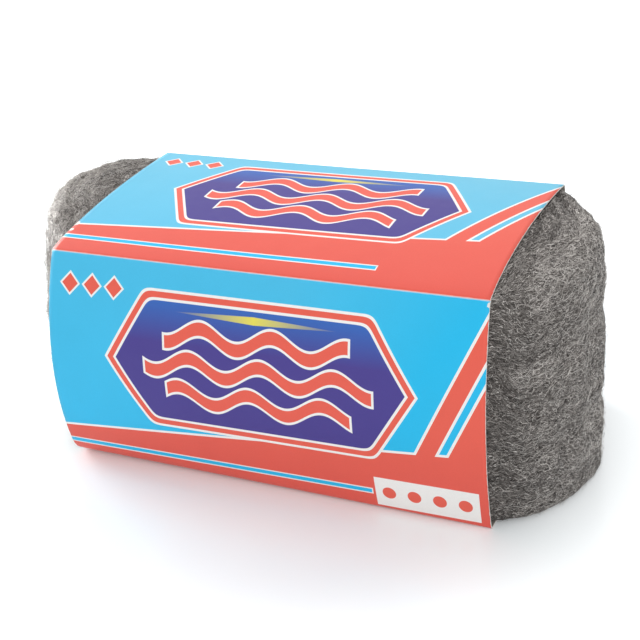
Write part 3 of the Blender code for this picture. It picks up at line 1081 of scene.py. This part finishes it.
def stretch(value, low, high):
    """A value from 0 to 1, stretched from a low level to a high one."""
    return value * (high - low) + low


def uneven(place, scale, low, high, detail=2.0):
    """A value that wanders between two levels, from a noise."""
    return stretch(noise(place, scale, detail), low, high)


def bump(height, strength, distance):
    """A normal that tilts the shading of a surface by the slopes of a height."""
    inputs = {"Strength": strength, "Distance": distance, "Height": height}
    return field_from(height.tree, "Bump", "Normal", inputs)


def colour(code):
    """A colour written as six hexadecimal digits, turned into linear values by the curve of sRGB."""
    values = np.array([int(code[i:i + 2], 16) for i in (0, 2, 4)]) / 255
    linear = np.where(values <= 0.04045, values / 12.92, ((values + 0.055) / 1.055) ** 2.4)
    return (*linear.tolist(), 1.0)


def uv_place(tree, name):
    """U and V of a UV map, as two fields, and the two together as a place."""
    place = field_from(tree, "UVMap", "UV", {}, uv_map=name)
    u, v = (field_from(tree, "SeparateXYZ", axis, {"Vector": place}) for axis in "XY")
    return u, v, place


def object_place(tree):
    """Object coordinates, which here are metres in the frame."""
    return field_from(tree, "TexCoord", "Object", {})


# %% Shapes as distances
EDGE_SOFTNESS = 0.12


def inside(distance):
    """Mask of a shape: 1 inside, 0 outside, and a soft edge a tenth of a millimetre wide."""
    share = distance * (-1.0 / EDGE_SOFTNESS) + 0.5
    return field_from(distance.tree, "Clamp", 0, {"Value": share})


def box_distance(x, y, middle, half):
    """Distance to an upright rectangle: the larger of how far past its sides and past its ends."""
    return calc("MAXIMUM", abs(x - middle[0]) - half[0], abs(y - middle[1]) - half[1])


def slope_distance(x, y, through, angle):
    """Distance to a half plane: positive above a line through a point, rising at an angle."""
    lean = math.radians(angle)
    return (y - through[1]) * math.cos(lean) - (x - through[0]) * math.sin(lean)


def disc_distance(x, y, middle, radius):
    """Distance to a disc: how far off its middle, less its radius."""
    across = x - middle[0]
    up = y - middle[1]
    return calc("SQRT", across * across + up * up) - radius


# %% [markdown]
# ## The print
#
# The sleeve's print is a plain design of its own in the colours of such packs: a sky-blue ground, a coral
# base that widens to the right, slanted coral bars there, and an indigo six-sided panel with three wavy
# lines and a thin yellow glint. All of it is laid out in millimetres on a panel 180 wide and 90 high. All
# four panels show the same layout. On the back and the bottom it is turned, so that the back reads from
# behind and the coral base runs on round the front foot.

# %% Colours of the print, and the place on it
SKY = colour("1CBCED")
# Pale blue for painted light on the top panel and up each panel.
SKY_PAINTED_LIGHT = colour("72C3DF")
CORAL = colour("E9604F")
# Darker coral for painted shade toward the foot.
CORAL_SHADED = colour("E2584C")
INDIGO = colour("463A8B")
BLUE = colour("2F6CC0")
WHITE = colour("F4F3F0")
YELLOW = colour("E9DC5A")
PANEL_WIDTH_MM = 180.0
PANEL_HEIGHT_MM = 90.0
FRONT, TOP, BACK = 0.0, 1.0, 2.0
NUMBER_SLACK = 0.1


def panel_place(tree):
    """Millimetres to the right and up on the panel, and the panel's number, from the print map."""
    u, v, _ = uv_place(tree, "Print")
    girth = calc("MODULO", v, PANELS)
    number = calc("FLOOR", girth)
    is_turned = calc("GREATER_THAN", number, BACK - 0.5)
    sign = is_turned * -2.0 + 1.0
    x = (u * sign + is_turned) * PANEL_WIDTH_MM
    y = (calc("FRACT", girth) * sign + is_turned) * PANEL_HEIGHT_MM
    return x, y, number, v


def is_panel(number, panel):
    """1 on one of the four panels, and 0 on the others."""
    return calc("COMPARE", number, panel, NUMBER_SLACK)


def lay_ink(under, shape, ink, keyline=0.0):
    """Lays an ink inside a shape, over what is there, with a white line of a given width round it."""
    if keyline:
        under = mix(inside(shape - keyline), under, WHITE)
    return mix(inside(shape), under, ink)


# %% [markdown]
# The ground isn't one even blue. It pales upwards and on the top panel, as painted light from above, and is
# deepest at the right of the front. The coral darkens toward the foot, as painted shade.

# %% Ground and coral fields
# Painted light: the blue pales on the top panel and up each panel.
PAINTED_LIGHT_ON_TOP = 0.55
PAINTED_LIGHT_UP = 0.35 / PANEL_HEIGHT_MM
DEEPER_FROM = 105.0
DEEPER_RIGHT = 0.35 / (PANEL_WIDTH_MM - DEEPER_FROM)
# Painted shade: the coral darkens toward the foot.
CORAL_SHADE_RISE = 1.6 / PANEL_HEIGHT_MM
BASE_LEFT = 17.0
BASE_ANGLE = 4.6
BARS = ((139.0, 146.0), (151.0, 200.0))
BAR_ANGLE = 64.0
CORAL_KEYLINE = 1.0
LINE_MIDDLE = (60.0, 9.0)
LINE_HALF = (74.0, 0.9)
LINE_KEYLINE = 0.5


def ground_ink(x, y, number):
    """Sky blue, paler on the top panel and up each panel as painted light, and less so at the front's right.
    """
    deeper = calc("MAXIMUM", x - DEEPER_FROM, 0.0) * DEEPER_RIGHT * is_panel(number, FRONT)
    pale = is_panel(number, TOP) * PAINTED_LIGHT_ON_TOP + y * PAINTED_LIGHT_UP - deeper
    return mix(calc("MAXIMUM", pale, 0.0), SKY, SKY_PAINTED_LIGHT)


def coral_distance(x, y):
    """Distance to the coral fields: the least of those to the sloping base and to the slanted bars."""
    nearest = slope_distance(x, y, (0.0, BASE_LEFT), BASE_ANGLE)
    for left, right in BARS:
        from_left = slope_distance(x, y, (left, 0.0), BAR_ANGLE)
        from_right = slope_distance(x, y, (right, 0.0), BAR_ANGLE) * -1.0
        nearest = calc("MINIMUM", nearest, calc("MAXIMUM", from_left, from_right))
    return nearest


def coral_inks(x, y, result):
    """The coral fields, darker toward the foot as painted shade, and a thin blue line along the base."""
    deep = calc("MAXIMUM", (PANEL_HEIGHT_MM / 2 - y) * CORAL_SHADE_RISE, 0.0)
    result = lay_ink(result, coral_distance(x, y), mix(deep, CORAL, CORAL_SHADED), CORAL_KEYLINE)
    return lay_ink(result, box_distance(x, y, LINE_MIDDLE, LINE_HALF), SKY, LINE_KEYLINE)


# %% [markdown]
# The six-sided panel has a distance of its own: two pairs of straight sides, rounded where they meet. Its
# borders are that same distance at other limits. A wave is a sine curve with a thickness.

# %% The six-sided panel
BADGE_MIDDLE = (90.0, 52.5)
BADGE_HALF = (60.0, 24.0)
BADGE_SLOPE = 58.0
BADGE_ROUNDING = 4.0
BADGE_BORDERS = ((4.2, WHITE), (3.2, CORAL), (1.0, WHITE))
BLUE_FROM = 0.35
BLUE_RISE = 1.3
GLINT_LEVEL = BADGE_MIDDLE[1] + 20.6
GLINT_REACH = 34.0
GLINT_HALF = 1.5
WAVES = ((64.5, 0.0, 38.0), (52.5, 1.1, 47.0), (40.5, 2.2, 38.0))
WAVE_LENGTH = 30.0
WAVE_HEIGHT = 3.2
WAVE_NARROWING = 0.88
WAVE_HALF = 2.2
WAVE_KEYLINE = 0.9


def badge_distance(x, y):
    """Distance to a long six-sided panel: a rectangle whose short sides come to a point."""
    up = abs(y - BADGE_MIDDLE[1])
    slope = math.radians(BADGE_SLOPE)
    slanted = (abs(x - BADGE_MIDDLE[0]) - BADGE_HALF[0]) * math.sin(slope) + up * math.cos(slope)
    return calc("SMOOTH_MAX", slanted, up - BADGE_HALF[1], BADGE_ROUNDING)


def wave_distance(x, y, level, phase, half):
    """Distance to a wavy line: how far above or below a sine, less half its thickness."""
    wave = calc("SINE", x * (2 * math.pi / WAVE_LENGTH) + phase)
    away = abs(y - wave * WAVE_HEIGHT - level) * WAVE_NARROWING - WAVE_HALF
    return calc("MAXIMUM", away, abs(x - BADGE_MIDDLE[0]) - half)


def badge_inks(x, y, result):
    """White and coral borders, an indigo field that turns blue upwards, a glint and the waves."""
    badge = badge_distance(x, y)
    for reach, ink in BADGE_BORDERS:
        result = mix(inside(badge - reach), result, ink)
    height = (y - BADGE_MIDDLE[1]) * (1.0 / BADGE_HALF[1]) - BLUE_FROM
    blue = calc("MINIMUM", calc("MAXIMUM", height, 0.0) * BLUE_RISE, 1.0)
    result = lay_ink(result, badge, mix(blue, INDIGO, BLUE))
    thin = calc("MAXIMUM", 1.0 - abs(x - BADGE_MIDDLE[0]) * (1.0 / GLINT_REACH), 0.0)
    glint = abs(y - GLINT_LEVEL) - thin * GLINT_HALF
    result = mix(inside(glint) * thin, result, YELLOW)
    for level, phase, half in WAVES:
        result = lay_ink(result, wave_distance(x, y, level, phase, half), CORAL, WAVE_KEYLINE)
    return result


# %% [markdown]
# Small marks finish the layout: lozenges at the upper left, and a white patch with dots at the lower
# right. The patch was stamped on after printing, so only the front has it.

# %% Lozenges and the patch
LOZENGES = (9.5, 19.5, 29.5)
LOZENGE_LEVEL = 79.0
LOZENGE_REACH = 3.6
LOZENGE_KEYLINE = 0.7
PATCH_MIDDLE = (156.0, 9.3)
PATCH_HALF = (20.5, 6.9)
DOTS = (141.0, 151.0, 161.0, 171.0)
DOT_RADIUS = 2.7


def lozenge_inks(x, y, result):
    """Three small coral lozenges at the upper left, each a square stood on its corner."""
    for middle in LOZENGES:
        lozenge = (abs(x - middle) + abs(y - LOZENGE_LEVEL) - LOZENGE_REACH) * math.sqrt(0.5)
        result = lay_ink(result, lozenge, CORAL, LOZENGE_KEYLINE)
    return result


def patch_inks(x, y, number, result):
    """A plain white patch with four stamped dots, low at the right of the front panel only."""
    on_front = is_panel(number, FRONT)
    patch = box_distance(x, y, PATCH_MIDDLE, PATCH_HALF)
    result = mix(inside(patch) * on_front, result, WHITE)
    for middle in DOTS:
        dot = disc_distance(x, y, (middle, PATCH_MIDDLE[1]), DOT_RADIUS)
        result = mix(inside(dot) * on_front, result, CORAL)
    return result


def ink_layers(x, y, number):
    """The print's colour: each ink goes over the ones before it, by the mask of its shape."""
    result = coral_inks(x, y, ground_ink(x, y, number))
    result = lozenge_inks(x, y, badge_inks(x, y, result))
    return patch_inks(x, y, number, result)


# %% [markdown]
# Under the ink is coated board. The cut edges show its pale core, and the creases a pale line that is partly
# worn board and partly painted highlight. The inside is grey board, darkened as painted shade. The ink has
# a faint grain, and the varnish is slightly uneven, so the gloss isn't perfect.

# %% Finish of the card
CARD_CORE = colour("EDEBE6")
# Greys of the inside, darkened as painted shade inside the sleeve.
SHADED_INSIDE_GREY = colour("77716A")
SHADED_INSIDE_PALE = colour("8F8981")
CHIPS = ((TOP, 0.2, 17.6, 1.3), (TOP, 0.3, 13.2, 1.0), (FRONT, 180.0, 88.6, 1.0))
# The pale crease line is partly worn board and partly painted highlight.
CREASE_WEAR_AND_HIGHLIGHT = 0.45
VARNISH_GLOSS = 0.35
DULLER_INSIDE = 0.4
DENT_BUMP = (0.08, 0.2 * MM)
# How each of these wanders: swells per metre, the lowest and the highest value, and the detail.
CUT_RAGGED = (420.0, -0.26, 0.34, 3.0)
CREASE_LINE_REACH = (300.0, 0.12, 0.42, 3.0)
CHIP_RAGGED = (900.0, -0.8, 0.8)
WIDE_GRAIN = (60.0, 0.97, 1.03)
FINE_GRAIN = (2600.0, -0.05, 0.05)
ROUGHNESS = (180.0, 0.40, 0.52, 3.0)
BOARD_FLECKS = (900.0, 0.0, 1.0, 4.0)
BOARD_DENTS = (700.0, 0.0, 1.0, 3.0)


def card_wear_and_highlight(x, y, number, v, place):
    """Mask of bare board and painted highlight: ragged cut ends, creases, and chips given as panel, x, y,
    radius.
    """
    from_end = calc("MINIMUM", x, PANEL_WIDTH_MM - x)
    ends = inside(from_end - uneven(place, *CUT_RAGGED))
    from_crease = abs(calc("WRAP", v, 0.5, -0.5)) * PANEL_HEIGHT_MM
    # The creases are partly rubbed board and partly painted highlight.
    creases = inside(from_crease - uneven(place, *CREASE_LINE_REACH))
    bare = calc("MAXIMUM", ends, creases * CREASE_WEAR_AND_HIGHLIGHT)
    ragged = uneven(place, *CHIP_RAGGED)
    for panel, across, up, radius in CHIPS:
        chip = inside(disc_distance(x, y, (across, up), radius) + ragged)
        bare = calc("MAXIMUM", bare, chip * is_panel(number, panel))
    return bare


def finish_card():
    """Printed outside, grey board inside darkened as painted shade, and pale core at the cut ends."""
    material, tree, shader = new_material("printed_card")
    x, y, number, v = panel_place(tree)
    place = object_place(tree)
    grain = uneven(place, *WIDE_GRAIN) + uneven(place, *FINE_GRAIN)
    inks = vector_calc("MULTIPLY", ink_layers(x, y, number), grain)
    outside = mix(card_wear_and_highlight(x, y, number, v, place), inks, CARD_CORE)
    is_inner = calc("GREATER_THAN", v, INNER_PRINT - 1.0)
    is_cut = calc("GREATER_THAN", v, CUT_PRINT - 1.0)
    # Grey board inside, darkened as painted shade.
    grey = mix(uneven(place, *BOARD_FLECKS), SHADED_INSIDE_GREY, SHADED_INSIDE_PALE)
    set_inputs(shader, {
        "Base Color": mix(is_cut, mix(is_inner, outside, grey), CARD_CORE),
        "Roughness": is_inner * DULLER_INSIDE + uneven(place, *ROUGHNESS),
        "Specular IOR Level": VARNISH_GLOSS,
        "Normal": bump(uneven(place, *BOARD_DENTS), *DENT_BUMP),
    })
    return material


sleeve.data.materials.append(finish_card())
print("nodes in the finish of the card:", len(sleeve.data.materials[0].node_tree.nodes))

# %% [markdown]
# ## The steel
#
# A fibre's colour is read from its bake map: across the map lies its tone, from deep grey to pale, and
# along the map it drifts a little, with a hint of brown from oil. The body under the fibres is darker, as
# painted shade in the depth between fibres, and has streaks along the winding.

# %% Finish of the fibres and of the body
FIBRE_TONES = ((0.0, "3E3A38"), (0.35, "6A6562"), (0.65, "8E8985"), (1.0, "D0CBC6"))
# Dark greys of the body: painted shade in the gaps between fibres.
BODY_SHADE_TONES = ((0.35, "2E2B29"), (0.65, "6E6965"))
OIL_BROWN = colour("7A6656")
OIL_SHARE = 0.22
OIL_SCALE = 70.0
OIL_FROM = 0.60
DRIFT_SCALE = 26.0
TONE_DRIFT = (-0.12, 0.12)
FIBRE_ROUGHNESS = (0.32, 0.52)
FIBRE_METAL = 0.45
STREAK_SCALE = (90.0, 420.0, 1.0)
# The scale, the detail and the roughness of the streaks' noise, and the strength and depth of their bump.
STREAK_NOISE = (1.0, 6.0, 0.7)
STREAK_BUMP = (0.8, 0.4 * MM)
BODY_ROUGHNESS = (0.5, 0.7)
BODY_METAL = 0.3


def tone_ramp(tone, stops):
    """A colour ramp with stops given as place and colour."""
    result = field_from(tone.tree, "ValToRGB", "Color", {"Fac": tone})
    elements = result.socket.node.color_ramp.elements
    while len(elements) < len(stops):
        elements.new(0.5)
    for element, (place, code) in zip(elements, stops):
        element.position = place
        element.color = colour(code)
    return result


def finish_fibres():
    """Bright drawn steel: part metal, with a tone for each fibre and a faint brown drift."""
    material, tree, shader = new_material("steel_fibres")
    u, _, place = uv_place(tree, "OFBake")
    drift = noise(place, DRIFT_SCALE)
    grey = tone_ramp(u + stretch(drift, *TONE_DRIFT), FIBRE_TONES)
    oiled = calc("GREATER_THAN", noise(place, OIL_SCALE, 1.0), OIL_FROM) * OIL_SHARE
    set_inputs(shader, {
        "Base Color": mix(oiled, grey, OIL_BROWN),
        "Roughness": stretch(drift, *FIBRE_ROUGHNESS),
        "Metallic": FIBRE_METAL,
    })
    return material


def finish_body():
    """Packed wool, dark as painted shade: streaks stretched along the winding, in colour and in bump."""
    material, tree, shader = new_material("packed_wool")
    _, _, place = uv_place(tree, "OFBake")
    streaks = noise(vector_calc("MULTIPLY", place, STREAK_SCALE), *STREAK_NOISE)
    set_inputs(shader, {
        "Base Color": tone_ramp(streaks, BODY_SHADE_TONES),
        "Roughness": stretch(streaks, *BODY_ROUGHNESS),
        "Metallic": BODY_METAL,
        "Normal": bump(streaks, *STREAK_BUMP),
    })
    return material


wound_wool.data.materials.append(finish_body())
fibre_steel = finish_fibres()
for piece in fibres:
    piece.data.materials.append(fibre_steel)

# %% [markdown]
# ## Joining the frame
#
# Nothing here moves, so every piece rides on the one body. The sleeve and the wool stand for the two
# solids, which are hidden. The wool is soft, so it is declared as padded, four fifths full.

# %% Ride and replace
for piece in pieces:
    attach(piece, BODY)
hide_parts("card_sleeve")
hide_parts("steel_wool_roll")

# %% [markdown]
# ## Floor, light and background
#
# The object stands on a white floor that runs into a white background. Seen by the camera, the floor
# glows: little near the object, so that it still darkens there, and more farther off, so that it reaches
# white. The light is soft: a pale sky, a broad lamp overhead and a little behind, one from the right in
# front, and a low one at the left.

# %% Floor and background
FLOOR_REACH = 4.0
FLOOR_CORNERS = ((-1, -1), (1, -1), (1, 1), (-1, 1))
FLOOR_DROP = 0.2 * MM
FLOOR_WHITE = colour("EBF0F2")
FLOOR_ROUGHNESS = 0.28
NEAR_GLOW, FAR_GLOW = 0.09, 0.50
GLOW_FROM, GLOW_TO = 0.10, 0.21
GLOW_SQUEEZE = (1.25, 1.0, 1.0)
SKY_LIGHT = 0.62
PURE_WHITE = (1.0, 1.0, 1.0, 1.0)


def seen_by(tree, *rays):
    """1 for the kinds of ray that are named, and 0 for all others, such as those that carry light."""
    seen = field_from(tree, "LightPath", rays[0], {})
    for ray in rays[1:]:
        seen = calc("MAXIMUM", seen, field_from(tree, "LightPath", ray, {}))
    return seen


def floor_glow(tree):
    """The floor's glow: an S-shaped rise with the distance from the object, squeezed along X."""
    away = vector_calc("LENGTH", vector_calc("MULTIPLY", object_place(tree), GLOW_SQUEEZE))
    inputs = {
        "Value": away, "From Min": GLOW_FROM, "From Max": GLOW_TO, "To Min": NEAR_GLOW, "To Max": FAR_GLOW}
    return field_from(tree, "MapRange", "Result", inputs, interpolation_type="SMOOTHSTEP")


def add_floor():
    """A white floor whose glow only the camera and reflections see."""
    mesh = bpy.data.meshes.new("floor")
    corners = [(x * FLOOR_REACH, y * FLOOR_REACH, -FLOOR_DROP) for x, y in FLOOR_CORNERS]
    mesh.from_pydata(corners, [], [(0, 1, 2, 3)])
    material, tree, shader = new_material("white_floor")
    set_inputs(shader, {
        "Base Color": FLOOR_WHITE,
        "Roughness": FLOOR_ROUGHNESS,
        "Emission Color": PURE_WHITE,
        "Emission Strength": seen_by(tree, "Is Camera Ray", "Is Glossy Ray") * floor_glow(tree),
    })
    mesh.materials.append(material)
    floor = add_object("floor", mesh)


def add_world():
    """White where the camera, a reflection or glass looks, and a plain level as light."""
    world = bpy.data.worlds.new("studio")
    world.use_nodes = True
    seen = seen_by(world.node_tree, "Is Camera Ray", "Is Glossy Ray", "Is Transmission Ray")
    background = world.node_tree.nodes["Background"]
    set_inputs(background, {"Color": PURE_WHITE, "Strength": stretch(seen, SKY_LIGHT, 1.0)})
    bpy.context.scene.world = world


add_floor()
add_world()

# %% [markdown]
# The lamps are broad, so their shadows are soft, and weak enough that a colour looks as it is written.

# %% Lamps
LAMP_AIM = np.array([0.0, 0.0, 0.05])
LAMPS = (
    ("key_lamp", (-0.1, 0.55, 1.35), 1.1, 3.8),
    ("fill_lamp", (0.7, -1.1, 0.9), 0.9, 7.4),
    ("left_lamp", (-1.05, 0.3, 0.35), 0.6, 13.0),
)


def add_lamp(name, place, size, power):
    """A square soft lamp, its size in metres and its power in watts, that points at the object."""
    data = bpy.data.lights.new(name, "AREA")
    data.size = size
    data.energy = power
    back = unit(np.array(place) - LAMP_AIM)
    right = unit(np.cross([0.0, 0.0, 1.0], back))
    add_object(name, data).matrix_world = place_matrix(right, np.cross(back, right), back, place)


for lamp in LAMPS:
    add_lamp(*lamp)
bpy.context.scene.view_settings.view_transform = "Standard"
